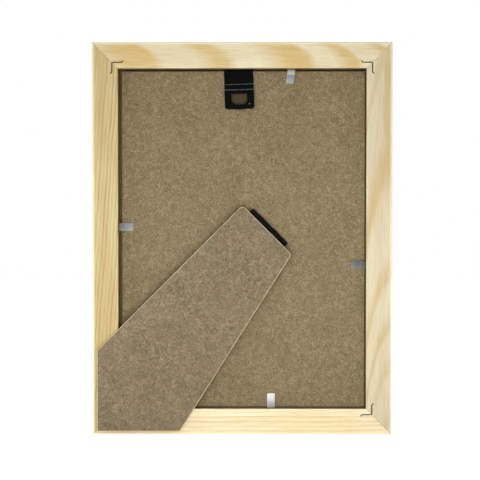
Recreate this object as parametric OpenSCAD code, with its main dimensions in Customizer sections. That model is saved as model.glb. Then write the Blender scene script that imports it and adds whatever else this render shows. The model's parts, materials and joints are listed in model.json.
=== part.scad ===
// Wooden picture frame with an easel strut, a hanger and four turn-up tabs on its back.
// +Z is up and the picture faces -Y, so the strut is on the +Y side. Left and right are named as
// someone looking at the picture sees them: left is -X and right is +X. The origin is in the middle
// of the bottom edge. The strut is drawn folded flat and the tabs pressed down on the board.

/* [Frame] */
// Overall width of the frame
frame_w = 160; // [125:1:260]
// Overall height of the frame
frame_h = 209.4; // [165:0.2:330]

/* [Moulding] */
// Width of each rail's face, outer edge to sight edge
rail_w = 19; // [14:0.5:30]
// Depth of the rails, front to back
rail_d = 14.5; // [13:0.5:22]
// How far the front lip reaches over the glass
lip_w = 5.2; // [3:0.2:8]
// Thickness of the front lip
lip_t = 4; // [2:0.2:5]
// Rounding of the outer front edge
front_edge_r = 2; // [0.5:0.1:3]
// Rounding of the sight edge
sight_edge_r = 1.4; // [0.5:0.1:1.8]
// Rounding of the outer back edge
back_edge_r = 1; // [0.3:0.1:2]
// Rounding of the back edge along the rebate
rebate_edge_r = 0.3; // [0.1:0.1:0.8]

/* [Glass, print and board] */
// Thickness of the glass
glass_t = 2; // [1.5:0.1:3]
// Thickness of the picture sheet
print_t = 0.3; // [0.2:0.1:1]
// Thickness of the back board
board_t = 3; // [2.2:0.1:4]
// Gap between the board and the right rail's rebate
board_gap_right = 1.8; // [0.3:0.1:2.5]
// Gap between the board and the left rail's rebate
board_gap_left = 0.6; // [0.3:0.1:2.5]
// Gap between the board and the top rail's rebate
board_gap_top = 1.3; // [1.3:0.1:2.5]
// Gap between the board and the bottom rail's rebate
board_gap_bottom = 0.5; // [0.3:0.1:2.5]
// How much smaller than the board the glass and the print are, all round
glass_inset = 0.3; // [0.1:0.1:1]

/* [Corner nails] */
// Length of a nail's straight arm
nail_arm = 5.1; // [3:0.1:7]
// Length of the hook at the end of an arm
nail_hook = 1.3; // [0.5:0.1:2]
// Thickness of a nail
nail_t = 0.4; // [0.3:0.05:0.8]
// Height of a nail, into the wood
nail_h = 7; // [4:0.5:9]
// How far a nail is driven below the back of the rails
nail_sink = 0.5; // [0.2:0.1:1]
// How far the nail's corner stands from the rebate, along each rail
nail_back = 3.1; // [1.5:0.1:5]

/* [Tabs] */
// Width of a tab
tab_w = 4.2; // [3:0.1:8]
// Thickness of a tab
tab_t = 0.4; // [0.3:0.05:0.8]
// How far a tab reaches over the board
tab_reach = 7.8; // [5:0.1:12]
// How deep a tab is driven into the rail
tab_drive = 6; // [3:0.5:8]
// Height of the driven part above the board
tab_rise = 1.1; // [0.8:0.1:1.6]
// How far from the rebate a tab meets the board
tab_knee = 3.2; // [2:0.1:5]
// Lift of a tab's tip above its knee
tab_tip_lift = 0.35; // [0:0.05:0.8]
// Top tab's place along its rail, towards +X from the middle
tab_top_at = -26.4; // [-40:0.1:40]
// Bottom tab's place along its rail, towards +X from the middle
tab_bottom_at = -15.5; // [-40:0.1:10]
// Right tab's place along its rail, upwards from the middle
tab_right_at = 6.4; // [0:0.1:50]
// Left tab's place along its rail, upwards from the middle
tab_left_at = -13.8; // [-50:0.1:50]
// How far the top tab is skewed
tab_top_skew = 7; // [-10:0.5:10]

/* [Hanger] */
// Width of the hanger
hanger_w = 15.7; // [12:0.1:25]
// Length of the hanger below the board's top edge
hanger_len = 20.2; // [16:0.1:30]
// Thickness of the hanger's sheet
hanger_t = 0.6; // [0.4:0.05:1]
// How far the hanger's front leg reaches down
hanger_grip = 9; // [5:0.5:15]
// Place of the hanger along the top edge, towards +X from the middle
hanger_at = 2.5; // [-10:0.1:30]
// How much higher the hanger's left end stands than its right
hanger_rise = 0.47; // [0:0.01:0.5]
// Distance of the upper crease below the board's top edge
crease_top = 6.9; // [4:0.1:8]
// Distance of the lower crease below the board's top edge
crease_bottom = 9.9; // [8.5:0.1:11]
// How far the lower part stands off the board
stand_off = 1.2; // [0.6:0.1:2]
// Width of the nail hole
hole_w = 8.4; // [5:0.1:10]
// Height of the nail hole
hole_h = 5.7; // [5.2:0.1:8]
// Distance of the nail hole above the hanger's lower end
hole_margin = 2.4; // [1.2:0.1:4]
// Rounding of the nail hole's lower corners
hole_r = 2.6; // [1:0.1:3]

/* [Strut] */
// Width of the strut at the hinge
strut_w = 37; // [30:0.5:60]
// Thickness of the strut
strut_t = 2.8; // [2:0.1:4]
// Flare of the strut's left side
strut_flare = 12.7; // [5:0.1:18]
// Distance of the strut's foot in from the frame's right and bottom edges
foot_inset_x = 2.7; // [1:0.1:8]
// Height of the strut's foot above the frame's bottom edge
foot_inset_z = 2.3; // [1:0.1:8]
// Rounding of the strut's two top corners
strut_corner_r = 2.4; // [1:0.1:5]
// Lean of the hinge line away from level
strut_angle = 45; // [40:1:50]
// Place of the hinge's middle, towards +X from the frame's middle
hinge_x = -14.3; // [-25:0.1:0]
// Height of the hinge's middle above the frame's middle
hinge_up = 6; // [-5:0.1:15]

/* [Hinge] */
// Length of the hinge, pin heads included
hinge_len = 26.6; // [20:0.1:36]
// Number of knuckles
knuckles = 5; // [3,5,7]
// Outer radius of the knuckles
knuckle_r = 1.4; // [1.2:0.05:1.8]
// Radius of the pin
pin_r = 0.65; // [0.5:0.05:0.8]
// Height of the pin's heads
pin_head_h = 0.5; // [0.3:0.1:1]
// Thickness of the hinge leaves
leaf_t = 0.7; // [0.5:0.05:0.9]
// Length of the hinge leaves, from the pin
leaf_len = 12; // [9:0.5:16]
// Radius of the rivets that hold the hinge to the board
rivet_r = 1.1; // [0.8:0.1:1.4]
// Radius of the rivets' heads
rivet_head_r = 2.1; // [1.7:0.1:2.6]
// How far the strut opens
strut_open = 33.5; // [20:0.5:40]

/* [Hidden] */

$fn = 48;
cut = 1;                 // how far a cutting shape runs past the face it cuts

// Clearances
pin_clear = 0.05;        // pin to knuckle bore, all round
side_clear = 0.1;        // between neighbouring knuckles
swing_clear = 0.3;       // between parts that swing past each other
driven_clear = 0.05;     // round what is driven or pushed into place
slot_clear = 0.15;       // groove that an underpinned nail leaves beside itself
tab_clear = 0.2;         // tab to board
stop_clear = 0.1;        // hinge stop to board when the strut is fully open
seat_clear = 0.1;        // hanger's bend to the board's top edge, where they are closest
top_clear = 0.1;         // strut's top edge to the knuckles

// Radii of bends and corners
bend_r = 0.15;           // inner side of bends in sheet and strip
bead = 0.05;             // how far round edges stand out of the flats they join
hanger_corner_r = 1.5;   // hanger's two lower corners
hole_top_r = 0.5;        // nail hole's upper corners
tab_corner_r = 0.6;      // tabs' tips
leaf_corner_r = 2;       // hinge leaves' two lower corners
foot_corner_r = 0.5;     // strut's three lower corners
corner_steps = 8;        // straight pieces in a rounded corner
bend_steps = 4;          // and in a bend

// Depths, all measured from the front face
rebate_w = rail_w - lip_w;                   // width of the rails' back face
stack_t = glass_t + print_t + board_t;
recess = rail_d - lip_t - stack_t;           // board's back face to the rails' back face
opening_w = frame_w - 2 * rebate_w;
opening_h = frame_h - 2 * rebate_w;

// Board
board_w = opening_w - board_gap_left - board_gap_right;
board_h = opening_h - board_gap_top - board_gap_bottom;
board_x = (board_gap_left - board_gap_right) / 2;
board_z = rebate_w + board_gap_bottom + board_h / 2;
board_top = board_z + board_h / 2;
hanger_skew = asin(hanger_rise / hanger_w);

// Hinge line: the strut hangs from it at strut_angle, in the plane of the board
hinge_z = frame_h / 2 + hinge_up;
axis_h = knuckle_r + swing_clear;            // pin's height above the board's back face
bore_r = pin_r + pin_clear;
barrel_len = hinge_len - 2 * pin_head_h;
knuckle_pitch = barrel_len / knuckles;
strut_face = knuckle_r - bead;               // strut's front face, behind the pin
strut_top = knuckle_r + top_clear;           // strut's top edge, below the pin
leaf_top = knuckle_r + swing_clear;          // leaf plates start this far below the pin
pin_head_r = knuckle_r - 0.15;               // wide end of the pin's heads, inside the knuckles' round

// Rivets, from the board's front face
rivet_flush_r = rivet_head_r - 0.3;          // wide end of the cone that fills the countersink
rivet_flush_h = 1;
rivet_head_h = 0.5;

// Lips on the strut leaf's knuckles, as long as the pin is high, so that they come down on the board when
// the strut is open: stop_drop is their turn from upright when their lower corner is stop_clear above it
stop_r = axis_h;
stop_t = 0.4;
stop_root = (bore_r + knuckle_r) / 2;         // they start inside the knuckle's wall
stop_drop = asin((axis_h - stop_clear) / norm([stop_r, stop_t / 2])) - atan2(stop_t / 2, stop_r);

// Teeth of the strut leaf, pressed into the strut
tooth_w = 3;
tooth_cover = 1;                             // what is left of the strut over a tooth
tooth_h = strut_t - tooth_cover;
tooth_places = [-barrel_len / 4, barrel_len / 4];

// A point of the frame's plane, [x, z], seen from the hinge with its line laid level
function from_hinge(p) =
    let (dx = p.x - hinge_x, dz = p.y - hinge_z)
    [dx * cos(strut_angle) + dz * sin(strut_angle), dz * cos(strut_angle) - dx * sin(strut_angle)];

// Where the strut's straight side meets the upright line x = at, and its flared side the level line z = at
function straight_side_at(at) =
    let (p = from_hinge([at, 0]), along = (strut_w / 2 - p.x) / sin(strut_angle))
    [strut_w / 2, p.y + along * cos(strut_angle)];
function flared_side_at(at) =
    let (p = from_hinge([0, at]), f = tan(strut_flare),
         along = (p.x + strut_w / 2 - (p.y + strut_top) * f) / (cos(strut_angle) + sin(strut_angle) * f))
    [p.x - along * cos(strut_angle), p.y + along * sin(strut_angle)];

foot_x = frame_w / 2 - foot_inset_x;
foot_corner = from_hinge([foot_x, foot_inset_z]);

// The folded strut leans on the rebate's edge, wherever it reaches that edge first
rest_reach = -max(straight_side_at(frame_w / 2 - rebate_w).y, flared_side_at(rebate_w).y);
strut_tilt = asin(max(0, recess + swing_clear - axis_h - strut_face) / rest_reach);
strut_proud = axis_h + (strut_face + strut_t) * cos(strut_tilt) - foot_corner.y * sin(strut_tilt) - recess;

// Front and back planes, with the whole depth centred on y = 0
depth = rail_d + strut_proud;
front_y = -depth / 2;
glass_y = front_y + lip_t;
print_y = glass_y + glass_t;
board_y = print_y + print_t;
board_back = board_y + board_t;
rails_back = front_y + rail_d;

CORNERS = [[1, 1], [1, -1], [-1, -1], [-1, 1]];

pine = "#E3C88F";
hardboard = "#8B7A5B";
black_steel = "#1B1B1D";
zinc_steel = "#A9ACB0";

// ---- Small tools ----

function unit(v) = v / norm(v);

// A polygon's corner p between a and b, rounded to radius r
function round_corner(a, p, b, r, steps) =
    let (to_a = unit(a - p), to_b = unit(b - p), half = acos(to_a * to_b) / 2,
         centre = p + unit(to_a + to_b) * r / sin(half),
         start = p + to_a * r / tan(half) - centre, end = p + to_b * r / tan(half) - centre,
         from = atan2(start.y, start.x), raw = atan2(end.y, end.x) - from,
         sweep = raw > 180 ? raw - 360 : raw < -180 ? raw + 360 : raw)
    [for (i = [0:steps]) centre + r * [cos(from + sweep * i / steps), sin(from + sweep * i / steps)]];

// A polygon with the radius radii[i] on its corner points[i], or a sharp corner for 0
function rounded(points, radii, steps = corner_steps) =
    let (n = len(points))
    [for (i = [0:n - 1]) each radii[i] > 0
        ? round_corner(points[(i + n - 1) % n], points[i], points[(i + 1) % n], radii[i], steps)
        : [points[i]]];

// Stands a drawing of the frame's plane up: its x is X, its y is Z, from y = at to at + t
module slab(at, t) translate([0, at + t, 0]) rotate([90, 0, 0]) linear_extrude(t) children();

// One side of a strip, at d to the left of its middle line, with the bends' radii as third values:
// r on the inner side of a bend and r + t on the outer
function strip_side(path, d, t, r) =
    [for (i = [0:len(path) - 1])
        let (last = len(path) - 1, a = unit(path[max(i, 1)] - path[max(i, 1) - 1]),
             b = unit(path[min(i, last - 1) + 1] - path[min(i, last - 1)]),
             n = unit([-a.y - b.y, a.x + b.x]), turn = a.x * b.y - a.y * b.x,
             p = path[i] + n * d / (n * [-a.y, a.x]))
        [p.x, p.y, i == 0 || i == last ? 0 : turn * d > 0 ? r : r + t]];

// A bent strip of thickness t along a path, its bends rounded to bend_r on their inner side
module strip(path, t) {
    left = strip_side(path, t / 2, t, bend_r);
    right = strip_side(path, -t / 2, t, bend_r);
    edge = concat(left, [for (i = [len(right) - 1:-1:0]) right[i]]);
    polygon(rounded([for (p = edge) [p.x, p.y]], [for (p = edge) p.z], bend_steps));
}

// Outside corner of a drawing's edge, cut away so that a round of radius r is left
module edge_round(r) difference() { square(2 * r, center = true); translate([r, r]) circle(r); }

// Puts a drawing made from the middle of a rail's outer edge, with +Z inwards, on one side of the frame
function side_turn(side) = side == "bottom" ? 0 : side == "top" ? 180 : side == "right" ? -90 : 90;
module on_side(side) {
    at = side == "bottom" ? [0, 0, 0] : side == "top" ? [0, 0, frame_h]
        : [side == "right" ? frame_w / 2 : -frame_w / 2, 0, frame_h / 2];
    translate(at) rotate([0, side_turn(side), 0]) children();
}

// ---- Rails ----

// Across a rail: x inwards from its outer edge, y backwards from its front face
module rail_profile() {
    difference() {
        union() {
            square([rebate_w, rail_d]);
            square([rail_w, lip_t]);
        }
        edge_round(front_edge_r);
        translate([rail_w, 0]) mirror([1, 0]) edge_round(sight_edge_r);
        translate([0, rail_d]) mirror([0, 1]) edge_round(back_edge_r);
        translate([rebate_w, rail_d]) rotate(180) edge_round(rebate_edge_r);
    }
}

// A rail with both ends mitred, less what is driven into it
module rail(side) {
    length = side == "top" || side == "bottom" ? frame_w : frame_h;
    half = length / 2;
    color(pine) difference() {
        on_side(side) intersection() {
            translate([0, front_y, 0]) rotate([0, -90, 0])
                linear_extrude(length, center = true) rail_profile();
            slab(front_y, rail_d)
                polygon([[-half, 0], [half, 0], [half - rail_w, rail_w], [rail_w - half, rail_w]]);
        }
        for (c = CORNERS) corner_nail(c, nail_t + 2 * slot_clear, nail_sink + cut);
        on_tab(side) slab(tab_y() - tab_t / 2 - driven_clear, tab_t + 2 * driven_clear)
            translate([-tab_w / 2 - driven_clear, -tab_drive])
                square([tab_w + 2 * driven_clear, tab_drive + cut]);
    }
}

// A V nail across the mitre at corner c, with its arms' ends hooked outwards
module corner_nail(c, t, over = 0) {
    at = [opening_w / 2 + nail_back, opening_h / 2 + nail_back];
    hook = nail_hook / sqrt(2);
    path = [[-nail_arm - hook, hook], [-nail_arm, 0], [0, 0], [0, -nail_arm], [hook, -nail_arm - hook]];
    translate([0, 0, frame_h / 2]) slab(rails_back - nail_sink - nail_h, nail_h + over)
        scale_to(c) translate(at) strip(path, t);
}

// Mirrors a drawing of the top right corner into corner c
module scale_to(c) mirror([c.x < 0 ? 1 : 0, 0]) mirror([0, c.y < 0 ? 1 : 0]) children();

module corner_nails() {
    color(zinc_steel) for (c = CORNERS) corner_nail(c, nail_t);
}

// ---- Glass, print and board ----

// A sheet in the rebate, smaller than the board by inset all round
module sheet(inset) {
    w = board_w - 2 * inset;
    h = board_h - 2 * inset;
    translate([board_x - w / 2, board_z - h / 2]) square([w, h]);
}

module glass_pane() {
    color("#C9DDD6", 0.4) slab(glass_y, glass_t) sheet(glass_inset);
}

module picture_print() {
    color("#F4F2EC") slab(print_y, print_t) sheet(glass_inset);
}

module back_board() {
    color(hardboard) difference() {
        slab(board_y, board_t) sheet(0);
        // pocket that the hanger's front leg is pressed into
        on_hanger() translate([0, board_y - board_back - cut, -hanger_grip - driven_clear])
            cube_x(hanger_w + 2 * driven_clear, hanger_t + 2 * driven_clear + cut, hanger_grip + 2 * cut);
        at_hinge() for (x = rivet_places())
            translate([x, -axis_h - board_t, rivet_z()]) rotate([-90, 0, 0]) {
                translate([0, 0, -cut]) cylinder(r = rivet_r + driven_clear, h = board_t + 2 * cut);
                rivet_flush(driven_clear);
            }
    }
}

// A box centred on x
module cube_x(w, d, h) translate([-w / 2, 0, 0]) cube([w, d, h]);

// ---- Hanger ----

// From the board's top edge and back face, skewed as it was pushed on
module on_hanger() {
    translate([board_x + hanger_at, board_back, board_top]) rotate([0, hanger_skew, 0]) children();
}

// Hole for a nail's head: square above, rounded below
module nail_hole() {
    base = -hanger_len + hole_margin;
    polygon(rounded([[-hole_w / 2, base], [hole_w / 2, base], [hole_w / 2, base + hole_h],
        [-hole_w / 2, base + hole_h]], [hole_r, hole_r, hole_top_r, hole_top_r]));
}

// A sheet steel clip over the board's top edge, stepped clear of the board round its hole
module hanger() {
    leg_y = -board_t + driven_clear + hanger_t / 2;
    bend_z = seat_clear + hanger_rise / 2 + hanger_t / 2;
    back_y = driven_clear + hanger_t / 2;
    path = [[leg_y, -hanger_grip], [leg_y, bend_z], [back_y, bend_z], [back_y, -crease_top],
        [back_y + stand_off, -crease_bottom], [back_y + stand_off, -hanger_len - cut]];
    half = hanger_w / 2;
    reach = board_t + stand_off + 2 * cut;
    top = bend_z + cut;
    color(black_steel) on_hanger() intersection() {
        rotate([0, -90, 0]) linear_extrude(hanger_w, center = true)
            strip([for (p = path) [p.y, p.x]], hanger_t);
        slab(-board_t - cut, reach + cut) difference() {
            polygon(rounded([[-half, -hanger_len], [half, -hanger_len], [half, top], [-half, top]],
                [hanger_corner_r, hanger_corner_r, 0, 0]));
            nail_hole();
        }
    }
}

// ---- Tabs ----

function tab_y() = board_back + tab_clear + tab_rise;        // middle of the driven part
function tab_offset(side) =
    side == "top" ? -tab_top_at : side == "bottom" ? tab_bottom_at
    : side == "right" ? tab_right_at : -tab_left_at;
function tab_skew(side) = side == "top" ? -tab_top_skew : 0;
// Bend line, in from the rebate, so that a skewed blade's corner clears the wall too
function tab_pivot(side) = swing_clear + tab_t + tab_w / 2 * sin(abs(tab_skew(side)));

// On the rebate's wall, with +Z inwards over the board
module on_tab(side) {
    on_side(side) translate([tab_offset(side), 0, rebate_w])
        rotate([0, tab_skew(side), 0]) children();
}

// A strip standing on edge: its path is [inwards, backwards from the board's back face]
module tab_strip(path, corner) {
    intersection() {
        translate([0, board_back, 0]) rotate([0, -90, 0]) linear_extrude(tab_w, center = true)
            strip(path, tab_t);
        slab(board_back - cut, rail_d) polygon(rounded([[-tab_w / 2, -tab_drive], [tab_w / 2, -tab_drive],
            [tab_w / 2, tab_reach], [-tab_w / 2, tab_reach]], [0, 0, corner, corner]));
    }
}

// The part driven into the rail
module tab_shank(side) {
    y = tab_y() - board_back;
    color(zinc_steel) on_tab(side)
        tab_strip([[-tab_drive - cut, y], [tab_pivot(side) - tab_t / 2 - bead - driven_clear, y]], 0);
}

// The part that turns up about the bend line
module tab_blade(side) {
    low = tab_clear + tab_t / 2;
    path = [[tab_pivot(side), tab_y() - board_back], [tab_knee, low], [tab_reach + cut, low + tab_tip_lift]];
    color(zinc_steel) on_tab(side) {
        tab_strip(path, tab_corner_r);
        translate([0, tab_y(), tab_pivot(side)]) rotate([0, 90, 0])
            cylinder(r = tab_t / 2 + bead, h = tab_w, center = true);
    }
}

// ---- Hinge ----

// The pin lies on X, the strut hangs below it and +Y points backwards
module at_hinge() {
    translate([hinge_x, board_back + axis_h, hinge_z]) rotate([0, -strut_angle, 0]) children();
}

// The same, swung to the folded strut's slope
module at_strut() at_hinge() rotate([strut_tilt, 0, 0]) children();

function rivet_places() = [-barrel_len / 3, barrel_len / 3];
function rivet_z() = -(leaf_top + leaf_len) / 2;

// Places of the knuckles that belong to one leaf: the first, third and so on, or those between
function knuckle_starts(first) = [for (i = [first:2:knuckles - 1]) -barrel_len / 2 + i * knuckle_pitch];

// A leaf with its plate's lower face at y = at; its knuckles leave room for the other leaf's
module hinge_leaf(first, at, holes) {
    plate_w = barrel_len;
    difference() {
        union() {
            slab(at, leaf_t) polygon(rounded([[-plate_w / 2, -leaf_top], [plate_w / 2, -leaf_top],
                [plate_w / 2, -leaf_len], [-plate_w / 2, -leaf_len]],
                [0, 0, leaf_corner_r, leaf_corner_r]));
            for (x = knuckle_starts(first)) {
                width = knuckle_pitch - side_clear;
                translate([x + side_clear / 2, at, -leaf_top]) cube([width, leaf_t, leaf_top]);
                translate([x + side_clear / 2, 0, 0]) rotate([0, 90, 0]) cylinder(r = knuckle_r, h = width);
            }
            children();
        }
        rotate([0, 90, 0]) cylinder(r = bore_r, h = hinge_len + 2 * cut, center = true);
        for (x = holes) translate([x, at - cut, rivet_z()]) rotate([-90, 0, 0])
            cylinder(r = rivet_r + driven_clear, h = leaf_t + 2 * cut);
    }
}

module hinge_board_leaf() {
    color(black_steel) at_hinge() hinge_leaf(0, -axis_h, rivet_places());
}

module hinge_strut_leaf() {
    color(black_steel) at_strut() hinge_leaf(1, strut_face - leaf_t, []) {
        for (x = knuckle_starts(1)) translate([x + side_clear / 2, 0, 0])
            rotate([stop_drop - strut_open - strut_tilt, 0, 0]) translate([0, -stop_t / 2, stop_root])
                cube([knuckle_pitch - side_clear, stop_t, stop_r - stop_root]);
        for (x = tooth_places) translate([x, strut_face - leaf_t, -leaf_len + leaf_t])
            cube_x(tooth_w, leaf_t + tooth_h, leaf_t);
    }
}

module hinge_pin() {
    color(black_steel) at_hinge() {
        rotate([0, 90, 0]) cylinder(r = pin_r, h = barrel_len, center = true);
        for (end = [0, 180]) rotate([0, 90 + end, 0]) translate([0, 0, barrel_len / 2 - side_clear / 2])
            cylinder(r1 = pin_head_r, r2 = pin_r, h = pin_head_h + side_clear / 2);
    }
}

// The flush end of a rivet in the board's front face, grown all round by more
module rivet_flush(more = 0) {
    cylinder(r1 = rivet_flush_r + more, r2 = rivet_r + more, h = rivet_flush_h);
    if (more > 0) translate([0, 0, -cut]) cylinder(r = rivet_flush_r + more, h = cut);
}

module hinge_rivets() {
    color(black_steel) at_hinge() for (x = rivet_places())
        translate([x, -axis_h - board_t, rivet_z()]) rotate([-90, 0, 0]) {
            rivet_flush();
            cylinder(r = rivet_r, h = board_t + leaf_t + rivet_head_h / 2);
            translate([0, 0, board_t + leaf_t]) cylinder(r1 = rivet_head_r, r2 = rivet_r, h = rivet_head_h);
        }
}

// ---- Strut ----

module strut() {
    outline = [[-strut_w / 2, -strut_top], [strut_w / 2, -strut_top], straight_side_at(foot_x), foot_corner,
        flared_side_at(foot_inset_z)];
    color("#8C7D66") at_strut() difference() {
        slab(strut_face, strut_t) polygon(rounded(outline,
            [strut_corner_r, strut_corner_r, foot_corner_r, foot_corner_r, foot_corner_r]));
        for (x = tooth_places) translate([x, strut_face - cut, -leaf_len + leaf_t - driven_clear])
            cube_x(tooth_w + 2 * driven_clear, tooth_h + driven_clear + cut, leaf_t + 2 * driven_clear);
    }
}

rail("top");  // rail_top
rail("right");  // rail_right
rail("bottom");  // rail_bottom
rail("left");  // rail_left
corner_nails();
glass_pane();
picture_print();
back_board();
hanger();
tab_shank("top");  // tab_top_shank
tab_shank("right");  // tab_right_shank
tab_shank("bottom");  // tab_bottom_shank
tab_shank("left");  // tab_left_shank
tab_blade("top");  // tab_top_blade
tab_blade("right");  // tab_right_blade
tab_blade("bottom");  // tab_bottom_blade
tab_blade("left");  // tab_left_blade
hinge_board_leaf();
hinge_rivets();
hinge_pin();
hinge_strut_leaf();
strut();
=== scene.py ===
import json
import math

import bpy
import numpy as np
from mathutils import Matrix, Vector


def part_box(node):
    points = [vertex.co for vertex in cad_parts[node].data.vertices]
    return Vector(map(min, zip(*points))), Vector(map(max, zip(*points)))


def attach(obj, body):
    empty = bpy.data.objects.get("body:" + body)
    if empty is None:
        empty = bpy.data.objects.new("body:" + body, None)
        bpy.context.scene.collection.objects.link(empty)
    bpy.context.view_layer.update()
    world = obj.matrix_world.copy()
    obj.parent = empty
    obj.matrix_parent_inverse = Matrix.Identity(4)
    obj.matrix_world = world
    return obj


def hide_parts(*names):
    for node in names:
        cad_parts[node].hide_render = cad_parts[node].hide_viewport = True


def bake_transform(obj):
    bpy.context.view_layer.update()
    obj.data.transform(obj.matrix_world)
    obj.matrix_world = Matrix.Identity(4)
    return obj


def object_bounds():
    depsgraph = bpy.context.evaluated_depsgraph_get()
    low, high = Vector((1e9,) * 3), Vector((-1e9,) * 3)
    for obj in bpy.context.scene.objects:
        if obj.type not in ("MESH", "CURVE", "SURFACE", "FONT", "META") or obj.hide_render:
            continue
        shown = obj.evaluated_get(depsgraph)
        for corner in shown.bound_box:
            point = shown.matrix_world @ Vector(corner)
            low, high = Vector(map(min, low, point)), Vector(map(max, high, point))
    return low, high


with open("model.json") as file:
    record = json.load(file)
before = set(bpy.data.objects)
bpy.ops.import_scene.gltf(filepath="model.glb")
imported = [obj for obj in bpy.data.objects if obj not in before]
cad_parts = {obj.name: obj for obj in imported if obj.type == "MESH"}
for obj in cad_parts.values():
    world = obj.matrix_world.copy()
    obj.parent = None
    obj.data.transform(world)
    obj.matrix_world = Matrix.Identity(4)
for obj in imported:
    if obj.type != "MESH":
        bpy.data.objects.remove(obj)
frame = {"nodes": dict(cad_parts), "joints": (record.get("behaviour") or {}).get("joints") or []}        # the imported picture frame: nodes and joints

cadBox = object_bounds()     # the imported frame's bounds, from which its sizes are read
scene = bpy.context.scene
mm = 0.001

# Small tools

def colour(code):  # sRGB hex to the linear colour that shaders work in
    parts = [int(code[i:i + 2], 16) / 255 for i in (1, 3, 5)]
    return [c / 12.92 if c <= 0.04045 else ((c + 0.055) / 1.055) ** 2.4 for c in parts] + [1]


def addNode(tree, kind, inputs={}, stops=None, **settings):  # a node with its settings, values and links
    made = tree.nodes.new("ShaderNode" + kind)
    for name, value in settings.items():
        setattr(made, name, value)
    if stops:  # a ramp's stops, as (place, colour or grey)
        elements = made.color_ramp.elements
        while len(elements) < len(stops):
            elements.new(1)
        for element, (place, value) in zip(elements, stops):
            element.position = place
            element.color = colour(value) if isinstance(value, str) else (value, value, value, 1)
    for name, value in inputs.items():
        if isinstance(value, bpy.types.NodeSocket):
            tree.links.new(value, made.inputs[name])
        else:
            made.inputs[name].default_value = value
    return made


def newMaterial(name):  # an empty material, its tree and its shader
    material = bpy.data.materials.new(name)
    material.use_nodes = True
    return material, material.node_tree, material.node_tree.nodes["Principled BSDF"]


def dress(names, material):  # gives CAD nodes a finish
    for name in names:
        slots = frame["nodes"][name].data.materials
        slots.clear()
        slots.append(material)


def soften(names, width):  # breaks the sharp edges of CAD nodes, as sawing, sanding and pressing leave them
    for name in names:
        weld = frame["nodes"][name].modifiers.new("weld", "WELD")
        weld.merge_threshold = 0.001 * mm
        bevel = frame["nodes"][name].modifiers.new("bevel", "BEVEL")
        bevel.width = width * mm
        bevel.segments = 2
        bevel.limit_method = "ANGLE"
        bevel.angle_limit = math.radians(35)


def nodePoints(name):  # a CAD node's points at rest, as an array
    mesh = frame["nodes"][name].data
    points = np.empty(len(mesh.vertices) * 3, np.float32)
    mesh.vertices.foreach_get("co", points)
    return points.reshape(-1, 3).astype(float)


def newPiece(name, points, faces, material):  # a smooth mesh object at the origin
    mesh = bpy.data.meshes.new(name)
    mesh.from_pydata(points.tolist(), [], faces)
    mesh.validate()
    mesh.shade_smooth()
    mesh.materials.append(material)
    piece = bpy.data.objects.new(name, mesh)
    scene.collection.objects.link(piece)
    return piece


def gridFaces(rows, columns):  # quads of a tube of rows rings, with both ends closed
    r, c = np.meshgrid(np.arange(rows - 1), np.arange(columns), indexing="ij")
    n = (c + 1) % columns
    quads = np.stack([r * columns + c, (r + 1) * columns + c, (r + 1) * columns + n, r * columns + n], 2)
    ends = [tuple(range(columns)), tuple(range(rows * columns - 1, (rows - 1) * columns - 1, -1))]
    return [tuple(q) for q in quads.reshape(-1, 4).tolist()] + ends


# Camera, floor and light

cameraSettings = {
    "lens": 97.75,           # mm, on a 36 mm sensor
    "place": (-0.00417, 0.70, 0.12281),
    "turn": (88.466, 0.005, 180.437),
}
camera = bpy.data.objects.new("camera", bpy.data.cameras.new("camera"))
camera.data.lens = cameraSettings["lens"]
camera.data.sensor_width = 36
camera.location = cameraSettings["place"]
camera.rotation_euler = [math.radians(a) for a in cameraSettings["turn"]]
scene.collection.objects.link(camera)
scene.camera = camera

floorSettings = {"size": 3.0, "colour": "#F4F3F0", "drop": 0.0001, "roughness": 0.9, "specular": 0.1,
    "glow": {"lighting": 0, "seen": 0.95, "mirrored": 0.4}}     # lifts the card to the wall's white


def sightStrength(tree, lighting, seen, mirrored):  # one strength each to light, to see and to reflect
    path = addNode(tree, "LightPath").outputs
    unseen = addNode(tree, "MapRange", {"Value": path["Is Glossy Ray"], "To Min": lighting,
        "To Max": mirrored}).outputs[0]
    return addNode(tree, "MapRange", {"Value": path["Is Camera Ray"], "To Min": unseen,
        "To Max": seen}).outputs[0]


def makeFloor():  # a pale matt sheet of card under the frame
    half, low = floorSettings["size"] / 2, -floorSettings["drop"]
    corners = np.array([[-half, -half, low], [half, -half, low], [half, half, low], [-half, half, low]])
    card, tree, shader = newMaterial("whiteCard")
    shader.inputs["Base Color"].default_value = colour(floorSettings["colour"])
    shader.inputs["Roughness"].default_value = floorSettings["roughness"]
    shader.inputs["Specular IOR Level"].default_value = floorSettings["specular"]
    shader.inputs["Emission Color"].default_value = (1, 1, 1, 1)
    tree.links.new(sightStrength(tree, **floorSettings["glow"]), shader.inputs["Emission Strength"])
    newPiece("floor", corners, [(0, 1, 2, 3)], card)


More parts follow.
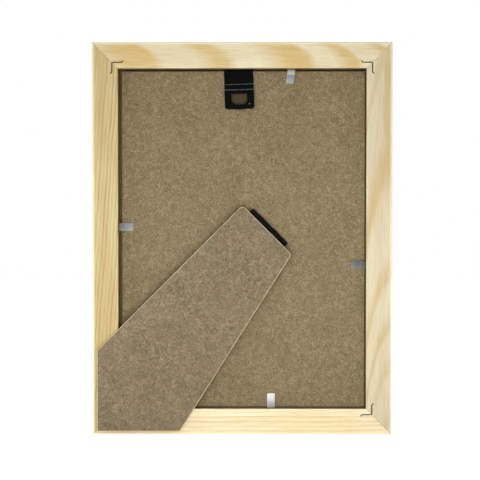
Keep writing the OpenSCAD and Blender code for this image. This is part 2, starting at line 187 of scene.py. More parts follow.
lamps = {  # place, size in metres, watts, aim; the low lamp is kept out of the metal's reflections
    "backLeft": {"place": (1.0, 1.0, 0.75), "size": 0.9, "watts": 2.5, "aim": (0, 0, 0.08)},
    "backRight": {"place": (-1.0, 1.0, 0.75), "size": 0.9, "watts": 1.7, "aim": (0, 0, 0.08)},
    "sideLeft": {"place": (1.2, 0.4, 0.25), "size": 0.7, "watts": 2.4, "aim": (0, 0, 0.1)},
    "frontal": {"place": (0.12, 1.1, 0.3), "size": 0.5, "watts": 0.3, "aim": (0, 0, 0.1)},
    "lowBack": {"place": (0.0, 0.28, 0.02), "size": 0.25, "watts": 1.14, "aim": (-0.01, 0, 0.0),
        "glossy": False},
    "overhead": {"place": (0, 0.25, 1.3), "size": 1.2, "watts": 3.0, "aim": (0, 0.1, 0)},
    "frontFill": {"place": (0.3, -1.3, 0.9), "size": 1.0, "watts": 20, "aim": (0, 0, 0.1)},
    "frontLeft": {"place": (1.3, -0.25, 0.3), "size": 0.8, "watts": 7, "aim": (0, 0, 0.1)},
    "frontRight": {"place": (-1.3, -0.25, 0.3), "size": 0.8, "watts": 7, "aim": (0, 0, 0.1)},
}
worldSettings = {"lighting": 0.05, "seen": 1.0, "mirrored": 0.6}


def aimTurn(place, aim):  # the turn that points a lamp's -Z at its aim
    way = np.array(aim, float) - np.array(place, float)
    flat = math.hypot(way[0], way[1])
    return (math.atan2(flat, -way[2]), 0, math.atan2(-way[0], way[1]))


def makeLights():
    for name, lamp in lamps.items():
        data = bpy.data.lights.new(name, "AREA")
        data.shape = "SQUARE"
        data.size = lamp["size"]
        data.energy = lamp["watts"]
        light = bpy.data.objects.new(name, data)
        light.location = lamp["place"]
        light.rotation_euler = aimTurn(lamp["place"], lamp["aim"])
        light.visible_camera = False
        light.visible_glossy = lamp.get("glossy", True)
        scene.collection.objects.link(light)
    world = bpy.data.worlds.new("studio")
    world.use_nodes = True
    tree = world.node_tree
    tree.links.new(sightStrength(tree, **worldSettings), tree.nodes["Background"].inputs["Strength"])
    tree.nodes["Background"].inputs["Color"].default_value = (1, 1, 1, 1)
    scene.world = world
    scene.view_settings.view_transform = "Standard"


makeFloor()
makeLights()
print("camera, floor and lights made")

# Pine rails, planed and sanded, left bare. Rings show as tan latewood bands, sharp on their outer side,
# in cream earlywood, with fine fibres along the rail and a paler arris.

frameWidth = (cadBox[1].x - cadBox[0].x) / mm
frameHeight = (cadBox[1].z - cadBox[0].z) / mm
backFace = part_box("rail_top")[1].y / mm
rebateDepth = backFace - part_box("glass_pane")[0].y / mm
railPoints = nodePoints("rail_right")        # its rebate's wall is the innermost part of its back face
rebateWidth = frameWidth / 2 - railPoints[railPoints[:, 1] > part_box("back_board")[1].y][:, 0].min() / mm

# A ring's place is slope . (along, across, deep) + bow * (across - bowAt)^2, in mm, where along is from the
# rail's middle, across is from its outer edge and deep is from its back face. Bands are its latewood, as
# (start, full, still full, end, depth). Streaks run from one value to the next, softened over the third.
rails = {
    "rail_top": {"turn": 180, "shift": (0, frameHeight), "half": frameWidth / 2,
        "slope": (1, 0, 9), "bow": 0.10, "bowAt": 12, "wander": 2.6,
        "early": "#DFD6B6", "late": "#CCAF71", "warm": "#DACDAA",
        "bands": [(-78, -62, -46, -41, 0.9), (-24, -14, -8, -2, 0.85), (10, 26, 36, 41, 0.95),
            (50, 57, 61, 64, 0.9), (76, 81, 84, 87, 0.8)]},
    "rail_left": {"turn": 90, "shift": (frameHeight / 2, frameWidth / 2), "half": frameHeight / 2,
        "slope": (1, 0, -9), "bow": -0.21, "bowAt": 0, "wander": 2.6,
        "early": "#D0C6A9", "late": "#BC9F6A", "warm": "#CABD9E",
        "bands": [(-110, -101, -97, -92, 0.4), (-60, -44, -36, -26, 0.75), (6, 15, 20, 24, 0.6),
            (38, 45, 48, 52, 0.6), (62, 69, 71, 75, 0.4), (88, 95, 98, 101, 0.35)],
        "streaks": {"along": (-98, -36, 14), "across": (0.8, 4.6, 0.9), "spacing": 1.1, "depth": 0.85}},
    "rail_right": {"turn": -90, "shift": (-frameHeight / 2, frameWidth / 2), "half": frameHeight / 2,
        "slope": (-0.07, 1, 0.4), "bow": 0, "bowAt": 0, "wander": 1.3, "spacing": 1.95,
        "early": "#CCBE8E", "late": "#A48952", "warm": "#C3AD7E"},
    "rail_bottom": {"turn": 0, "shift": (0, 0), "half": frameWidth / 2,
        "slope": (0.006, 1, 0.3), "bow": 0, "bowAt": 0, "wander": 1.0, "spacing": 2.5,
        "early": "#EDE2C2", "late": "#D5BF8B", "warm": "#E6D8B2"},
}
grain = {  # sizes along and across the rail in mm, and the colours that all four rails share
    "slow": (45, 14), "quick": (14, 2.2), "patch": (22, 3), "drift": (70, 9), "fibre": (16, 0.5),
    "resin": (5, 0.35), "resinColour": "#B08C58", "arrisColour": "#F5EDC8", "jointColour": "#8C7145",
    # the rebate colour is painted shade for the gap beside the back board
    "rebateShadeColour": "#68502E", "softEdge": 0.12,
}


def perMm(size):  # a pattern's scale from its size along and across, in mm
    return (1 / size[0], 1 / size[1], 1 / size[1])


def bandStops(bands, low, high):  # a ramp that rises to each band, holds and falls
    stops = [(low, 0.0)]
    for start, rise, fall, end, depth in bands:
        stops += [(start, 0.0), (rise, depth), (fall, depth), (end, 0.0)]
    return [((p - low) / (high - low), v) for p, v in stops]


def pine(name, rail):
    material, tree, shader = newMaterial(name)
    add = lambda kind, inputs={}, **settings: addNode(tree, kind, inputs, **settings)
    sums = lambda operation, *values: add("Math", dict(enumerate(values)), operation=operation).outputs[0]
    place = add("TexCoord").outputs["Object"]
    turned = add("Mapping", {"Vector": place, "Scale": (1000, 1000, 1000),
        "Rotation": (-math.pi / 2, 0, math.radians(rail["turn"])),
        "Location": (*rail["shift"], backFace)}).outputs[0]
    axes = add("SeparateXYZ", {0: turned})
    along, across = axes.outputs[0], axes.outputs[1]

    # Rings, bent by a slow wander of the grain and a finer one
    slow = add("Mapping", {"Vector": turned, "Scale": perMm(grain["slow"])}).outputs[0]
    slowNoise = add("TexNoise", {"Vector": slow, "Scale": 1, "Detail": 2}).outputs[0]
    quick = add("Mapping", {"Vector": turned, "Scale": perMm(grain["quick"])}).outputs[0]
    quickNoise = add("TexNoise", {"Vector": quick, "Scale": 1, "Detail": 2}).outputs[0]
    tilted = add("VectorMath", {0: turned, 1: rail["slope"]}, operation="DOT_PRODUCT").outputs["Value"]
    off = sums("SUBTRACT", across, rail["bowAt"])
    bowed = sums("MULTIPLY_ADD", sums("MULTIPLY", off, off), rail["bow"], tilted)
    wander = sums("MULTIPLY_ADD", sums("SUBTRACT", slowNoise, 0.5), 2 * rail["wander"], bowed)
    ring = sums("MULTIPLY_ADD", sums("SUBTRACT", quickNoise, 0.5), 0.5 * rail["wander"], wander)
    if "bands" in rail:
        low, high = -rail["half"] - 45, rail["half"] + 25
        share = add("MapRange", {"Value": ring, "From Min": low, "From Max": high}).outputs[0]
        late = add("ValToRGB", {"Fac": share}, stops=bandStops(rail["bands"], low, high)).outputs[0]
        fade = 1.0
    else:
        turn = sums("DIVIDE", ring, rail["spacing"])
        late = add("ValToRGB", {"Fac": sums("FRACT", turn)},
            stops=[(0, 0.1), (0.35, 0.15), (0.75, 0.75), (0.86, 0.95), (1, 0.1)]).outputs[0]
        fade = add("MapRange", {"Value": add("TexWhiteNoise", {"W": sums("FLOOR", turn)},
            noise_dimensions="1D").outputs["Value"], "To Min": 0.45, "To Max": 1}).outputs[0]
    patch = add("Mapping", {"Vector": turned, "Scale": perMm(grain["patch"]),
        "Location": (3, 5, 7)}).outputs[0]
    patchy = add("TexNoise", {"Vector": patch, "Scale": 1, "Detail": 3}).outputs[0]
    patches = add("MapRange", {"Value": patchy, "From Min": 0.35, "From Max": 0.6,
        "To Min": 0.75, "To Max": 1}).outputs[0]
    late = sums("MULTIPLY", sums("MULTIPLY", late, fade), patches)
    if "streaks" in rail:                 # thin latewood lines along the rail's outer edge
        wave = sums("MULTIPLY_ADD", sums("SUBTRACT", slowNoise, 0.5), 5, across)
        lines = sums("FRACT", sums("DIVIDE", sums("MULTIPLY_ADD", quickNoise, 0.6, wave),
            rail["streaks"]["spacing"]))
        share = rail["streaks"]["depth"]
        for axis, direction in ((along, "along"), (wave, "across")):
            start, end, soft = rail["streaks"][direction]
            for edge, way in ((start, 1), (end, -1)):
                inside = add("MapRange", {"Value": axis, "From Min": edge - way * soft / 2,
                    "From Max": edge + way * soft / 2}, interpolation_type="SMOOTHSTEP").outputs[0]
                share = sums("MULTIPLY", inside, share)
        drawn = add("MapRange", {"Value": lines, "To Min": 0.35}).outputs[0]
        late = sums("MAXIMUM", late, sums("MULTIPLY", share, drawn))

    # Colour: cream, a warmer cream in slow drifts, and tan latewood
    slide = add("Mapping", {"Vector": turned, "Scale": perMm(grain["drift"]),
        "Location": (9, 2, 4)}).outputs[0]
    drift = add("TexNoise", {"Vector": slide, "Scale": 1, "Detail": 2}).outputs[0]
    driftShare = add("MapRange", {"Value": drift, "From Min": 0.4, "From Max": 0.62}).outputs[0]
    cream = add("Mix", {"Factor": driftShare, 6: colour(rail["early"]), 7: colour(rail["warm"])},
        data_type="RGBA").outputs[2]
    banded = add("Mix", {"Factor": late, 6: cream, 7: colour(rail["late"])}, data_type="RGBA").outputs[2]

    # Fibres, drawn coarser than real ones so that they show, and short dark resin streaks
    combed = add("Mapping", {"Vector": turned, "Scale": perMm(grain["fibre"])}).outputs[0]
    fibre = add("TexNoise", {"Vector": combed, "Scale": 1, "Detail": 4, "Roughness": 0.6}).outputs[0]
    fibreTint = add("ValToRGB", {"Fac": fibre},
        stops=[(0.3, "#EADBC2"), (0.5, "#FFFFFF"), (0.72, "#FFFFFF")]).outputs[0]
    fibred = add("Mix", {"Factor": 0.75, 6: banded, 7: fibreTint}, data_type="RGBA",
        blend_type="MULTIPLY").outputs[2]
    short = add("Mapping", {"Vector": turned, "Scale": perMm(grain["resin"]),
        "Location": (1, 8, 3)}).outputs[0]
    resin = add("TexNoise", {"Vector": short, "Scale": 1, "Detail": 0}).outputs[0]
    resinShare = add("MapRange", {"Value": resin, "From Min": 0.74, "From Max": 0.8,
        "To Max": 0.35}).outputs[0]
    streaked = add("Mix", {"Factor": resinShare, 6: fibred, 7: colour(grain["resinColour"])},
        data_type="RGBA").outputs[2]

    # Arris: the outer millimetre is sanded pale
    arris = add("MapRange", {"Value": across, "From Min": 0.5, "From Max": 1.5, "To Min": 0.7, "To Max": 0},
        interpolation_type="SMOOTHSTEP").outputs[0]
    shallow = add("MapRange", {"Value": axes.outputs[2], "From Min": 0.4, "From Max": 1.2, "To Min": 1,
        "To Max": 0}).outputs[0]
    edged = add("Mix", {"Factor": sums("MULTIPLY", arris, shallow), 6: streaked,
        7: colour(grain["arrisColour"])}, data_type="RGBA").outputs[2]

    # Mitre: a thin dark joint line, broken up by noise
    fromEnd = sums("SUBTRACT", rail["half"], sums("ABSOLUTE", along))
    toMitre = sums("SUBTRACT", fromEnd, across)
    joint = add("MapRange", {"Value": toMitre, "From Min": 0.1, "From Max": 0.35, "To Min": 0.4,
        "To Max": 0}, interpolation_type="SMOOTHSTEP").outputs[0]
    jointShare = sums("MULTIPLY", joint, patches)
    jointed = add("Mix", {"Factor": jointShare, 6: edged, 7: colour(grain["jointColour"])},
        data_type="RGBA").outputs[2]

    # Rebate: painted shade, a dark brown over its walls and floor where the gap beside the board lies in
    # shadow
    deep = axes.outputs[2]
    share = add("MapRange", {"Value": deep, "From Min": 0.2, "From Max": 0.9, "To Max": 0.85}).outputs[0]
    for value, operation, limit in ((across, "GREATER_THAN", rebateWidth - 0.05),
            (deep, "LESS_THAN", rebateDepth + 0.05)):
        share = sums("MULTIPLY", share, sums(operation, value, limit))
    finished = add("Mix", {"Factor": share, 6: jointed, 7: colour(grain["rebateShadeColour"])},
        data_type="RGBA").outputs[2]

    tree.links.new(finished, shader.inputs["Base Color"])
    shader.inputs["Specular IOR Level"].default_value = 0.35
    rough = add("MapRange", {"Value": late, "To Min": 0.62, "To Max": 0.48}).outputs[0]
    tree.links.new(rough, shader.inputs["Roughness"])
    height = sums("MULTIPLY_ADD", fibre, 0.6, sums("MULTIPLY", late, 0.3))
    bump = add("Bump", {"Height": height, "Strength": 0.25, "Distance": 0.06 * mm})
    tree.links.new(bump.outputs[0], shader.inputs["Normal"])
    return material


for railName, railFigure in rails.items():
    dress([railName], pine("barePine_" + railName[5:], railFigure))
soften(rails, grain["softEdge"])
print("pine rails dressed")

# Hardboard, wet-pressed wood fibre. The face is brown with a fine mottle, dark flecks and a few pale fibres.
# The strut's sawn edge is pale and lightened further as a painted highlight, and the board's edge is a darker
# brown.

boards = {  # face and edge colours, and the mottle's size in mm
    "back_board": {"base": "#7B6C4F", "dark": "#5C4E30", "light": "#9B8C6F", "edge": "#6E5C3C",
        "mottle": 0.8},
    # the strut's pale edge colour is partly a painted highlight on its worn edge
    "strut": {"base": "#75684F", "dark": "#584D37", "light": "#95866F", "edge": "#DAC9A4",
        "mottle": 0.85},
}
fibreboard = {"fleck": "#5F4C2C", "strand": "#B5A27C", "underHangerShade": "#40361F", "roughness": 0.72,
    "specular": 0.25, "clump": 3.2, "cloud": 18, "fleckSpacing": 3.6,     # mm
    # the last two place the painted shade under the hanger: its middle and its reach
    "paintedShadeAt": (-0.3, 5.5), "paintedShadeReach": 7}     # mm, from the middle of the hanger's lower edge


def hardboard(name, board, paintedShade=None):
    material, tree, shader = newMaterial(name)
    add = lambda kind, inputs={}, **settings: addNode(tree, kind, inputs, **settings)
    whole = add("TexCoord").outputs["Object"]
    place = add("Mapping", {"Vector": whole, "Scale": (1000, 1000, 1000)}).outputs[0]
    mottle = add("TexNoise", {"Vector": place, "Scale": 1 / board["mottle"], "Detail": 3,
        "Roughness": 0.7, "Distortion": 0.6}).outputs[0]
    clump = add("TexNoise", {"Vector": place, "Scale": 1 / fibreboard["clump"], "Detail": 2,
        "Distortion": 0.8}).outputs[0]
    cloud = add("TexNoise", {"Vector": place, "Scale": 1 / fibreboard["cloud"], "Detail": 2}).outputs[0]
    broad = add("Math", {0: clump, 1: 0.2, 2: add("Math", {0: cloud, 1: 0.08},
        operation="MULTIPLY").outputs[0]}, operation="MULTIPLY_ADD").outputs[0]
    mixed = add("Math", {0: mottle, 1: 0.72, 2: broad}, operation="MULTIPLY_ADD").outputs[0]
    face = add("ValToRGB", {"Fac": mixed},
        stops=[(0.36, board["dark"]), (0.5, board["base"]), (0.64, board["light"])]).outputs[0]

    # Dark flecks of bark and pale single fibres
    fleck = add("TexVoronoi", {"Vector": place, "Scale": 1 / fibreboard["fleckSpacing"], "Randomness": 1})
    fleckShare = add("MapRange", {"Value": fleck.outputs["Distance"], "From Min": 0.08, "From Max": 0.16,
        "To Min": 0.5, "To Max": 0}).outputs[0]
    flecked = add("Mix", {"Factor": fleckShare, 6: face, 7: colour(fibreboard["fleck"])},
        data_type="RGBA").outputs[2]
    strand = add("TexNoise", {"Vector": add("Mapping", {"Vector": place, "Scale": (1, 1, 1 / 3),
        "Rotation": (0, 0.6, 0)}).outputs[0], "Scale": 1.1, "Detail": 1, "Distortion": 1.5}).outputs[0]
    strandShare = add("MapRange", {"Value": strand, "From Min": 0.68, "From Max": 0.76,
        "To Max": 0.45}).outputs[0]
    stranded = add("Mix", {"Factor": strandShare, 6: flecked, 7: colour(fibreboard["strand"])},
        data_type="RGBA").outputs[2]

    # Sawn edges, told from the face by the way the surface truly faces on its own body; on the strut the pale
    # edge tint is partly a painted highlight
    facing = add("VectorTransform", {"Vector": add("NewGeometry").outputs["True Normal"]},
        vector_type="NORMAL", convert_from="WORLD", convert_to="OBJECT").outputs[0]
    turned = add("Math", {0: add("SeparateXYZ", {0: facing}).outputs[1]}, operation="ABSOLUTE").outputs[0]
    sawn = add("MapRange", {"Value": turned, "From Min": 0.96, "From Max": 0.85}).outputs[0]
    coloured = add("Mix", {"Factor": sawn, 6: stranded, 7: colour(board["edge"])},
        data_type="RGBA").outputs[2]
    if paintedShade:                             # painted shade: the board darkened under the hanger, where its plate shades it
        middle, reach = paintedShade
        away = add("VectorMath", {0: whole, 1: middle}, operation="DISTANCE").outputs["Value"]
        share = add("MapRange", {"Value": away, "From Min": 0.7 * reach, "From Max": reach, "To Min": 0.95,
            "To Max": 0}, interpolation_type="SMOOTHSTEP").outputs[0]
        coloured = add("Mix", {"Factor": share, 6: coloured, 7: colour(fibreboard["underHangerShade"])},
            data_type="RGBA").outputs[2]
    tree.links.new(coloured, shader.inputs["Base Color"])
    shader.inputs["Roughness"].default_value = fibreboard["roughness"]
    shader.inputs["Specular IOR Level"].default_value = fibreboard["specular"]
    bump = add("Bump", {"Height": mottle, "Strength": 0.35, "Distance": 0.12 * mm})
    tree.links.new(bump.outputs[0], shader.inputs["Normal"])
    return material


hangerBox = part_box("hanger")
hangerShadeCentre = ((hangerBox[0].x + hangerBox[1].x) / 2 + fibreboard["paintedShadeAt"][0] * mm,
    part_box("back_board")[1].y, hangerBox[0].z + fibreboard["paintedShadeAt"][1] * mm)
# the back board gets a painted shade under the hanger
dress(["back_board"], hardboard("hardboard_board", boards["back_board"],
    (hangerShadeCentre, fibreboard["paintedShadeReach"] * mm)))

strutEdges = {"back": 0.45, "front": 0.3,     # mm that each face's edge is worn round
    "margin": 1.04,          # where the flat of a face starts, as a share of that
    "steps": 5, "faceRings": 9}


def backFrame(name):  # right, up and out of a tilted node's back face, as rows
    mesh = frame["nodes"][name].data
    normals = np.empty(len(mesh.polygons) * 3, np.float32)
    mesh.polygons.foreach_get("normal", normals)
    normals = normals.reshape(-1, 3).astype(float)
    backward = normals[normals[:, 1] > 0.9].mean(axis=0)
    backward /= np.linalg.norm(backward)
    right = np.cross(backward, (0, 0, 1))
    right /= np.linalg.norm(right)
    return np.stack([right, np.cross(backward, right), backward])


def insetDirections(rim):  # at each point of a ring, how it moves when its sides move in by 1
    ahead, behind = np.roll(rim, -1, 0) - rim, rim - np.roll(rim, 1, 0)
    ahead, behind = (way / np.linalg.norm(way, axis=1, keepdims=True) for way in (ahead, behind))
    way = np.stack([-(ahead + behind)[:, 1], (ahead + behind)[:, 0]], 1)
    way /= np.linalg.norm(way, axis=1, keepdims=True)
    return way / (way[:, 1:] * ahead[:, :1] - way[:, :1] * ahead[:, 1:])


def makeStrut():
    # Worn by e, a face's ring at turn a is the outline moved in by e(1 - sin a), e(1 - cos a) below the face.
    # Inside it, rings drawn in towards the middle close the face. The other face has the same rings reversed.
    axes = backFrame("strut")
    local = nodePoints("strut") @ axes.T
    top, low = local[:, 2].max(), local[:, 2].min()
    rim = np.unique(np.round(local[local[:, 2] > top - 0.01 * mm][:, :2], 7), axis=0)
    middle = (rim.max(axis=0) + rim.min(axis=0)) / 2
    rim = rim[np.argsort(np.arctan2(*(rim - middle).T[::-1]))]
    turn = np.linspace(0, math.pi / 2, strutEdges["steps"])
    inner = np.linspace(0.1, 0.9, strutEdges["faceRings"])
    level = np.ones(len(inner) + 1)
    back, front = strutEdges["back"] * mm, strutEdges["front"] * mm
    flatBack, flatFront = back * strutEdges["margin"], front * strutEdges["margin"]
    opening, closing = 1 - np.cos(turn), 1 - np.sin(turn)
    moved = np.r_[level * flatBack, back * closing, front * opening, level * flatFront]
    height = np.r_[level * top, top - back * opening, low + front * closing, level * low]
    shares = np.r_[inner, np.ones(2 * len(turn) + 2), inner[::-1]]
    inset = rim[None] + insetDirections(rim)[None] * moved[:, None, None]
    rings = middle + (inset - middle) * shares[:, None, None]
    grid = np.concatenate([rings, np.broadcast_to(height[:, None, None], (*rings.shape[:2], 1))], 2)
    piece = newPiece("board_strut", grid.reshape(-1, 3) @ axes, gridFaces(*grid.shape[:2]),
        hardboard("hardboard_strut", boards["strut"]))
    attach(piece, "strut")
    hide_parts("strut")


makeStrut()
print("hardboard dressed")

# Hanger and hinge, stove-lacquered mild steel: near black and satin, with a faint orange peel and a painted
# grey highlight along the hanger's creases.

lacquer = {"colour": "#030605", "hollow": "#020403", "creaseHighlight": "#5A5E62", "bare": "#9AA2A8",
    "roughness": 0.4, "specular": 0.06, "hingeGloss": 2.0, "creaseWidth": 0.33, "spotOffset": (2.6, 3.1),
    "spotRadius": 0.3, "softEdge": 0.12}     # widths, offsets and radii in mm


def creaseLines():  # the hanger's two bends as (direction across the bend, distance along it), in metres
    points = nodePoints("hanger")
    middle = points[:, 0].mean()
    plate = points[points[:, 1] > points[:, 1].max() - 0.02 * mm]
    leg = points[points[:, 2] > plate[:, 2].max() + 4 * mm]
    leg = points[np.abs(points[:, 1] - leg[:, 1].max()) < 0.02 * mm]
    lines = []
    for level, way in ((leg, -1), (plate, 1)):
        ends = [half[(way * half[:, 2]).argmax()]
            for half in (level[level[:, 0] < middle], level[level[:, 0] > middle])]
        across = np.array([ends[0][2] - ends[1][2], 0, ends[1][0] - ends[0][0]])
        across /= np.linalg.norm(across)
        lines.append((across, ends[0] @ across))
    return lines


def lacqueredSteel(name, creases=(), spot=None, gloss=1.0):
    material, tree, shader = newMaterial(name)
    add = lambda kind, inputs={}, **settings: addNode(tree, kind, inputs, **settings)
    whole = add("TexCoord").outputs["Object"]
    place = add("Mapping", {"Vector": whole, "Scale": (1000, 1000, 1000)}).outputs[0]
    peel = add("TexNoise", {"Vector": place, "Scale": 1.6, "Detail": 2}).outputs[0]
    tint = add("ValToRGB", {"Fac": peel},
        stops=[(0.35, lacquer["hollow"]), (0.7, lacquer["colour"])]).outputs[0]
    highlightBreakup = add("TexNoise", {"Vector": place, "Scale": 0.9, "Detail": 2}).outputs[0]
    share = add("MapRange", {"Value": highlightBreakup, "From Min": 0.3, "From Max": 0.6, "To Min": 0.45}).outputs[0]
    for across, distance in creases:      # painted highlight along the outside of each bend, where the crease catches light
        past = add("VectorMath", {0: whole, 1: tuple(across)}, operation="DOT_PRODUCT").outputs["Value"]
        off = add("Math", {0: add("Math", {0: past, 1: distance}, operation="SUBTRACT").outputs[0]},
            operation="ABSOLUTE").outputs[0]
        line = add("MapRange", {"Value": off, "From Min": 0.1 * mm, "From Max": lacquer["creaseWidth"] * mm,
            "To Min": 0.8, "To Max": 0}, interpolation_type="SMOOTHSTEP").outputs[0]
        creaseHighlight = add("Math", {0: line, 1: share}, operation="MULTIPLY").outputs[0]
        tint = add("Mix", {"Factor": creaseHighlight, 6: tint, 7: colour(lacquer["creaseHighlight"])},
            data_type="RGBA").outputs[2]
    if spot is not None:                  # a chip by the plate's corner, down to the steel
        away = add("VectorMath", {0: whole, 1: tuple(spot)}, operation="DISTANCE").outputs["Value"]
        chip = add("MapRange", {"Value": away, "From Min": 0.5 * lacquer["spotRadius"] * mm,
            "From Max": lacquer["spotRadius"] * mm, "To Min": 1, "To Max": 0}).outputs[0]
        tint = add("Mix", {"Factor": chip, 6: tint, 7: colour(lacquer["bare"])}, data_type="RGBA").outputs[2]
    tree.links.new(tint, shader.inputs["Base Color"])
    shader.inputs["Roughness"].default_value = lacquer["roughness"]
    shader.inputs["Specular IOR Level"].default_value = lacquer["specular"] * gloss
    bump = add("Bump", {"Height": peel, "Strength": 0.2, "Distance": 0.05 * mm})
    tree.links.new(bump.outputs[0], shader.inputs["Normal"])
    return material


chipAt = (hangerBox[0].x + lacquer["spotOffset"][0] * mm, hangerBox[1].y,
    hangerBox[0].z + lacquer["spotOffset"][1] * mm)
dress(["hanger"], lacqueredSteel("blackLacqueredSteel_hanger", creaseLines(), chipAt))
hingeNodes = ["hinge_board_leaf", "hinge_strut_leaf", "hinge_pin", "hinge_rivets"]
dress(hingeNodes, lacqueredSteel("blackLacqueredSteel_hinge", gloss=lacquer["hingeGloss"]))
soften(["hanger", "hinge_board_leaf", "hinge_strut_leaf", "hinge_pin"], lacquer["softEdge"])
print("hanger and hinge dressed")

# Bent tabs, zinc-plated spring steel strip. Each tab is one strip that turns up at its bend, and it replaces
# the two CAD pieces.

tab = {"thickness": 0.4 * mm, "cornerRadius": 0.7 * mm, "edgeRadius": 0.12 * mm, "bendRadius": 0.5 * mm,
    "bendZone": 0.35 * mm, "samplesAlong": 90, "dull": "#BBB9A4", "plated": "#D9DBE4", "tipHighlight": "#FAFAFA",
    "tabLightShare": {"top": 0.52, "right": 0.43, "bottom": 0.93, "left": 0.27}}     # painted light: how brightly lit each tab is drawn


def zincSteel(side, root, inward, reach):  # painted shade at the root and a painted highlight towards the tip, where the bent blade catches light
    material, tree, shader = newMaterial("zincPlatedSteelPaintedLight_" + side)
    add = lambda kind, inputs={}, **settings: addNode(tree, kind, inputs, **settings)
    whole = add("TexCoord").outputs["Object"]
    place = add("Mapping", {"Vector": whole, "Scale": (1000, 1000, 1000)}).outputs[0]
    bloom = add("TexNoise", {"Vector": place, "Scale": 0.8, "Detail": 3}).outputs[0]
    offset = add("VectorMath", {0: whole, 1: tuple(root)}, operation="SUBTRACT").outputs[0]
    out = add("VectorMath", {0: offset, 1: tuple(inward)}, operation="DOT_PRODUCT").outputs["Value"]
    share = add("MapRange", {"Value": out, "From Max": reach}).outputs[0]
    mottled = add("Math", {0: bloom, 1: 0.12, 2: share}, operation="MULTIPLY_ADD").outputs[0]
    # the ramp runs from painted root shade through the plated grey to a painted tip highlight
    tint = add("ValToRGB", {"Fac": mottled},
        stops=[(0.05, tab["dull"]), (0.5, tab["plated"]), (1, tab["tipHighlight"])]).outputs[0]
    # each tab is darkened by its own share of painted light
    tabLightShare = (tab["tabLightShare"][side],) * 3 + (1,)
    paintedLit = add("Mix", {"Factor": 1, 6: tint, 7: tabLightShare}, data_type="RGBA",
        blend_type="MULTIPLY").outputs[2]
    tree.links.new(paintedLit, shader.inputs["Base Color"])
    shader.inputs["Metallic"].default_value = 1
    rough = add("MapRange", {"Value": bloom, "To Min": 0.32, "To Max": 0.46}).outputs[0]
    tree.links.new(rough, shader.inputs["Roughness"])
    return material


def filletPath(corners, radius, steps=8):  # a polyline with its inner corners rounded to radius
    path = [corners[0]]
    for before, corner, after in zip(corners, corners[1:], corners[2:]):
        to = [(p - corner) / np.linalg.norm(p - corner) for p in (before, after)]
        half = math.acos(np.clip(to[0] @ to[1], -1, 1)) / 2
        centre = corner + (to[0] + to[1]) / np.linalg.norm(to[0] + to[1]) * radius / math.sin(half)
        ends = [corner + t * radius / math.tan(half) - centre for t in to]
        share = np.linspace(0, 1, steps + 1)[:, None]
        mixed = ends[0] * (1 - share) + ends[1] * share
        path += list(centre + mixed / np.linalg.norm(mixed, axis=1, keepdims=True) * radius)
    return np.array(path + [corners[-1]])


def carriedStrip(path, halfWidth, halfThick, edge, corner):
    # Point (s, v) = path(s) + across * w(s, v) + normal(s) * t(v): a rounded section carried along the path,
    # narrowed near the tip by corner - sqrt(corner^2 - (corner - left)^2), where left is what is left of it
    lengths = np.r_[0, np.cumsum(np.linalg.norm(np.diff(path, axis=0), axis=1))]
    total = lengths[-1]
    tip = total - corner * (1 - np.cos(np.linspace(0, math.pi / 2, 10)))[::-1]
    s = np.r_[np.linspace(0, total - corner, tab["samplesAlong"])[:-1], tip]
    line = np.stack([np.interp(s, lengths, path[:, i]) for i in (0, 1)], 1)
    along = np.gradient(line, s, axis=0)
    along /= np.linalg.norm(along, axis=1, keepdims=True)
    normal = np.stack([-along[:, 1], along[:, 0]], 1)
    left = np.clip(total - s, 0, corner)
    narrow = corner - np.sqrt(np.maximum(corner ** 2 - (corner - left) ** 2, 0))
    quarter = np.linspace(0, math.pi / 2, 4)
    turns = np.concatenate([quarter + k * math.pi / 2 for k in range(4)])
    signs = np.array([[1, 1], [-1, 1], [-1, -1], [1, -1]]).repeat(4, 0)
    w = signs[:, 0] * (halfWidth - edge) + edge * np.cos(turns)
    t = signs[:, 1] * (halfThick - edge) + edge * np.sin(turns)
    w = w[None] - np.sign(w)[None] * narrow[:, None]
    inward = line[:, None, 0] + normal[:, None, 0] * t[None]
    back = line[:, None, 1] + normal[:, None, 1] * t[None]
    return np.stack([w, inward, back], 2)   # across, inwards, backwards


def makeTab(side):
    joint = next(j for j in frame["joints"] if j["name"] == f"tab_{side}_bend")
    pivot, across = np.array(joint["pos_m"]), np.array(joint["axis"], float)
    inward = np.cross((0, 1, 0), across)
    middle = np.array([0, pivot[1], frameHeight * mm / 2])
    if inward @ (middle - pivot) < 0:
        inward = -inward
    shank, blade = nodePoints(f"tab_{side}_shank"), nodePoints(f"tab_{side}_blade")
    thick = tab["thickness"]
    start = ((shank - pivot) @ inward).min()
    reach = ((blade - pivot) @ inward).max()
    halfWidth = np.abs((blade - pivot) @ across).max()
    low = blade[:, 1].min()
    knee = blade[blade[:, 1] < low + 0.02 * mm]
    kneeAt = ((knee - pivot) @ inward).mean()
    tipBack = blade[((blade - pivot) @ inward) > reach - 0.05 * mm][:, 1].mean()
    corners = [np.array(p) for p in ((start, 0.0), (0.0, 0.0), (kneeAt, low + thick / 2 - pivot[1]),
        (reach, tipBack - pivot[1]))]
    grid = carriedStrip(filletPath(corners, tab["bendRadius"]), halfWidth, thick / 2, tab["edgeRadius"],
        tab["cornerRadius"])
    flat = grid.reshape(-1, 3)
    points = pivot + flat[:, :1] * across + flat[:, 1:2] * inward + flat[:, 2:] * np.array([0, 1, 0])
    faces = gridFaces(*grid.shape[:2])
    if np.cross(across, inward)[1] < 0:     # a mirrored frame of axes turns the faces inside out
        faces = [f[::-1] for f in faces]
    piece = newPiece(f"bent_tab_{side}", points, faces, zincSteel(side, pivot, inward, reach))
    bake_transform(piece)
    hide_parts(f"tab_{side}_shank", f"tab_{side}_blade")


for tabSide in ("top", "right", "bottom", "left"):
    makeTab(tabSide)
print("tabs made")

# Nails, glass and print

nail = {"dull": "#5B564C", "clean": "#8A857C", "roughness": 0.5}


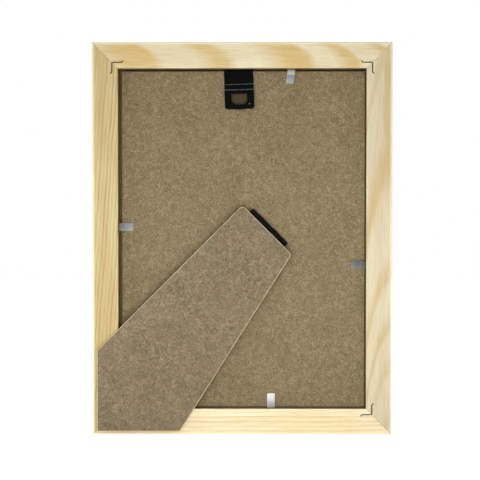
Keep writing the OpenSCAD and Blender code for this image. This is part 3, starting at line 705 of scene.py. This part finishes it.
def nailSteel():  # cut steel strip: dull grey, driven below the wood
    material, tree, shader = newMaterial("cutNailSteel")
    add = lambda kind, inputs={}, **settings: addNode(tree, kind, inputs, **settings)
    whole = add("TexCoord").outputs["Object"]
    place = add("Mapping", {"Vector": whole, "Scale": (1000, 1000, 1000)}).outputs[0]
    dull = add("TexNoise", {"Vector": place, "Scale": 1.2, "Detail": 3}).outputs[0]
    tint = add("ValToRGB", {"Fac": dull}, stops=[(0.35, nail["dull"]), (0.65, nail["clean"])]).outputs[0]
    tree.links.new(tint, shader.inputs["Base Color"])
    shader.inputs["Metallic"].default_value = 1
    shader.inputs["Roughness"].default_value = nail["roughness"]
    return material


glass = {"clear": "#FAFCFB", "edge": "#9CC7B4", "ior": 1.52, "shadow": 0.05}


def floatGlass():  # clear soda-lime glass, faintly green through its edges
    material, tree, shader = newMaterial("clearFloatGlass")
    add = lambda kind, inputs={}, **settings: addNode(tree, kind, inputs, **settings)
    coordinates = add("TexCoord")
    facing = add("VectorMath", {0: coordinates.outputs["Normal"], 1: (0, 1, 0)},
        operation="DOT_PRODUCT").outputs["Value"]
    edge = add("MapRange", {"Value": add("Math", {0: facing}, operation="ABSOLUTE").outputs[0],
        "From Min": 0.9, "From Max": 0.5}).outputs[0]
    tint = add("Mix", {"Factor": edge, 6: colour(glass["clear"]), 7: colour(glass["edge"])},
        data_type="RGBA").outputs[2]
    tree.links.new(tint, shader.inputs["Base Color"])
    shader.inputs["Transmission Weight"].default_value = 1
    shader.inputs["Roughness"].default_value = 0.0
    shader.inputs["IOR"].default_value = glass["ior"]
    lit = add("MapRange", {"Value": add("LightPath").outputs["Is Shadow Ray"], "To Min": 1,
        "To Max": glass["shadow"]})
    tree.links.new(lit.outputs[0], shader.inputs["Alpha"])    # lets the lamps light the sheet behind it
    return material


sheet = {"fibre": "#ECE9E1", "blank": "#F6F4EE", "roughness": 0.8}


def paper():  # uncoated off-white sheet with a faint fibre
    material, tree, shader = newMaterial("uncoatedPaper")
    add = lambda kind, inputs={}, **settings: addNode(tree, kind, inputs, **settings)
    whole = add("TexCoord").outputs["Object"]
    place = add("Mapping", {"Vector": whole, "Scale": (1000, 1000, 1000)}).outputs[0]
    pulp = add("TexNoise", {"Vector": place, "Scale": 1.3, "Detail": 3}).outputs[0]
    tint = add("ValToRGB", {"Fac": pulp}, stops=[(0.35, sheet["fibre"]), (0.6, sheet["blank"])]).outputs[0]
    tree.links.new(tint, shader.inputs["Base Color"])
    shader.inputs["Roughness"].default_value = sheet["roughness"]
    return material


dress(["corner_nails"], nailSteel())
dress(["glass_pane"], floatGlass())
dress(["picture_print"], paper())
print("nails, glass and print dressed")
